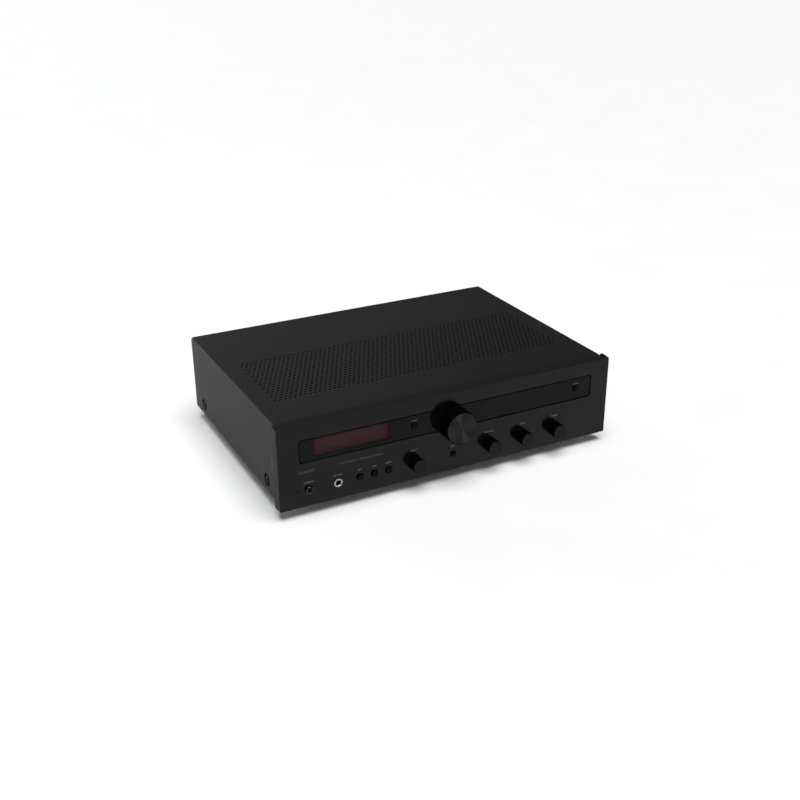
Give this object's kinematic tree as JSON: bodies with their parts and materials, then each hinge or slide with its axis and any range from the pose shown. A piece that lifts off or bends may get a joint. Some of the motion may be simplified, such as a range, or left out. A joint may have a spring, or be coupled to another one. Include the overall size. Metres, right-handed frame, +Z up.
{
  "type": "stereo receiver",
  "caption": "Full-width black stereo receiver: brushed front plate with a dark window band, knobs and push buttons, vented steel cover, sockets and screw posts at the back.",
  "frame": {"origin": "on the floor, under the middle of the overall box from the volume knob's face to the speaker caps' ends", "axes": "+X to the right seen from the front, +Y from the front to the back, +Z up; the controls face -Y"},
  "size_m": [0.434, 0.342, 0.1123],
  "materials": {
    "brushed_black_plate": "black anodised, brushed along its length, satin",
    "black_painted_steel": "fine textured black paint",
    "black_moulding": "moulded, satin",
    "smoked_pane": "smoked acrylic, polished",
    "turned_black_knob": "black anodised with a spun face",
    "button_black": "polished",
    "zinc_plated_steel": "zinc plated",
    "bright_socket": "plated",
    "black_screw": "black zinc plated",
    "foot_rubber": "matt",
    "circuit_board": "green solder mask",
    "bare_aluminium": "extruded",
    "display_glass": "unlit display tube behind a dull red filter",
    "lamp_lens": "clear red lens, unlit",
    "transformer_core": "iron and copper under amber tape",
    "capacitor_sleeve": "shrink sleeve",
    "epoxy_case": "moulded epoxy",
    "gilt_brass": "gold plated",
    "red_cap": "moulded red",
    "black_cap": "moulded black"
  },
  "bodies": {
    "chassis": {"front_fascia": "brushed_black_plate", "display_window": "smoked_pane", "fascia_frame": "black_moulding", "rca_jack_block": "black_moulding", "speaker_terminal_base": "black_moulding", "mains_inlet": "black_moulding", "top_cover": "black_painted_steel", "rear_panel": "black_painted_steel", "cover_screw_left_front": "black_screw", "cover_screw_right_front": "black_screw", "cover_screw_left_rear": "black_screw", "cover_screw_right_rear": "black_screw", "chassis_tray": "zinc_plated_steel", "volume_potentiometer": "zinc_plated_steel", "input_encoder": "zinc_plated_steel", "balance_potentiometer": "zinc_plated_steel", "bass_potentiometer": "zinc_plated_steel", "treble_potentiometer": "zinc_plated_steel", "transformer_clamp": "zinc_plated_steel", "tuner_module": "zinc_plated_steel", "foot_front_left": "foot_rubber", "foot_front_right": "foot_rubber", "foot_rear_left": "foot_rubber", "foot_rear_right": "foot_rubber", "heatsink": "bare_aluminium", "standby_lamp": "lamp_lens", "phones_jack": "bright_socket", "display_module": "display_glass", "control_board": "circuit_board", "main_board": "circuit_board", "output_transistor_left": "epoxy_case", "output_transistor_right": "epoxy_case", "power_transformer": "transformer_core", "reservoir_capacitor_left": "capacitor_sleeve", "reservoir_capacitor_right": "capacitor_sleeve"},
    "volume_control": {"volume_knob": "turned_black_knob", "volume_shaft": "bare_aluminium"},
    "input_control": {"input_knob": "turned_black_knob", "input_shaft": "bare_aluminium"},
    "balance_control": {"balance_knob": "turned_black_knob", "balance_shaft": "bare_aluminium"},
    "bass_control": {"bass_knob": "turned_black_knob", "bass_shaft": "bare_aluminium"},
    "treble_control": {"treble_knob": "turned_black_knob", "treble_shaft": "bare_aluminium"},
    "power_button": {"power_button": "button_black"},
    "preset_button": {"preset_button": "button_black"},
    "tuning_button": {"tuning_button": "button_black"},
    "memory_button": {"memory_button": "button_black"},
    "direct_button": {"direct_button": "button_black"},
    "dimmer_button": {"dimmer_button": "button_black"},
    "display_button": {"display_button": "button_black"},
    "post_washer_left_plus": {"post_washer_left_plus": "gilt_brass"},
    "post_cap_left_plus": {"post_cap_left_plus": "red_cap"},
    "post_washer_left_minus": {"post_washer_left_minus": "gilt_brass"},
    "post_cap_left_minus": {"post_cap_left_minus": "black_cap"},
    "post_washer_right_minus": {"post_washer_right_minus": "gilt_brass"},
    "post_cap_right_minus": {"post_cap_right_minus": "black_cap"},
    "post_washer_right_plus": {"post_washer_right_plus": "gilt_brass"},
    "post_cap_right_plus": {"post_cap_right_plus": "red_cap"}
  },
  "joints": [
    {"name": "volume_turn", "type": "hinge", "parent": "chassis", "child": "volume_control", "pos_m": [0, -0.1578, 0.074], "axis": [0, 1, 0], "range_deg": [-150, 150]},
    {"name": "input_turn", "type": "hinge", "parent": "chassis", "child": "input_control", "pos_m": [-0.0505, -0.1578, 0.0341], "axis": [0, 1, 0], "continuous": true},
    {"name": "balance_turn", "type": "hinge", "parent": "chassis", "child": "balance_control", "pos_m": [0.0495, -0.1578, 0.0341], "axis": [0, 1, 0], "range_deg": [-300, 0]},
    {"name": "bass_turn", "type": "hinge", "parent": "chassis", "child": "bass_control", "pos_m": [0.0952, -0.1578, 0.0341], "axis": [0, 1, 0], "range_deg": [-300, 0]},
    {"name": "treble_turn", "type": "hinge", "parent": "chassis", "child": "treble_control", "pos_m": [0.1409, -0.1578, 0.0341], "axis": [0, 1, 0], "range_deg": [-300, 0]},
    {"name": "power_press", "type": "slide", "parent": "chassis", "child": "power_button", "axis": [0, 1, 0], "range_m": [0, 0.002], "stiffness_N_per_m": 800},
    {"name": "preset_press", "type": "slide", "parent": "chassis", "child": "preset_button", "axis": [0, 1, 0], "range_m": [0, 0.0008], "stiffness_N_per_m": 1500},
    {"name": "tuning_press", "type": "slide", "parent": "chassis", "child": "tuning_button", "axis": [0, 1, 0], "range_m": [0, 0.0008], "stiffness_N_per_m": 1500},
    {"name": "memory_press", "type": "slide", "parent": "chassis", "child": "memory_button", "axis": [0, 1, 0], "range_m": [0, 0.0008], "stiffness_N_per_m": 1500},
    {"name": "direct_press", "type": "slide", "parent": "chassis", "child": "direct_button", "axis": [0, 1, 0], "range_m": [0, 0.0008], "stiffness_N_per_m": 1500},
    {"name": "dimmer_press", "type": "slide", "parent": "chassis", "child": "dimmer_button", "axis": [0, 1, 0], "range_m": [0, 0.0008], "stiffness_N_per_m": 1500},
    {"name": "display_press", "type": "slide", "parent": "chassis", "child": "display_button", "axis": [0, 1, 0], "range_m": [0, 0.0008], "stiffness_N_per_m": 1500},
    {"name": "clamp_left_plus", "type": "slide", "parent": "chassis", "child": "post_washer_left_plus", "axis": [0, 1, 0], "range_m": [0, 0.0028]},
    {"name": "unscrew_left_plus", "type": "hinge", "parent": "post_washer_left_plus", "child": "post_cap_left_plus", "pos_m": [-0.1035, 0.1652, 0.062], "axis": [0, 1, 0], "range_deg": [0, 1440]},
    {"name": "clamp_left_minus", "type": "slide", "parent": "chassis", "child": "post_washer_left_minus", "axis": [0, 1, 0], "range_m": [0, 0.0028]},
    {"name": "unscrew_left_minus", "type": "hinge", "parent": "post_washer_left_minus", "child": "post_cap_left_minus", "pos_m": [-0.0845, 0.1652, 0.062], "axis": [0, 1, 0], "range_deg": [0, 1440]},
    {"name": "clamp_right_minus", "type": "slide", "parent": "chassis", "child": "post_washer_right_minus", "axis": [0, 1, 0], "range_m": [0, 0.0028]},
    {"name": "unscrew_right_minus", "type": "hinge", "parent": "post_washer_right_minus", "child": "post_cap_right_minus", "pos_m": [-0.0655, 0.1652, 0.062], "axis": [0, 1, 0], "range_deg": [0, 1440]},
    {"name": "clamp_right_plus", "type": "slide", "parent": "chassis", "child": "post_washer_right_plus", "axis": [0, 1, 0], "range_m": [0, 0.0028]},
    {"name": "unscrew_right_plus", "type": "hinge", "parent": "post_washer_right_plus", "child": "post_cap_right_plus", "pos_m": [-0.0465, 0.1652, 0.062], "axis": [0, 1, 0], "range_deg": [0, 1440]}
  ],
  "couplings": [
    {"joint": "unscrew_left_plus", "follows": "clamp_left_plus", "rad_per_m": 8975.9},
    {"joint": "unscrew_left_minus", "follows": "clamp_left_minus", "rad_per_m": 8975.9},
    {"joint": "unscrew_right_minus", "follows": "clamp_right_minus", "rad_per_m": 8975.9},
    {"joint": "unscrew_right_plus", "follows": "clamp_right_plus", "rad_per_m": 8975.9}
  ]
}
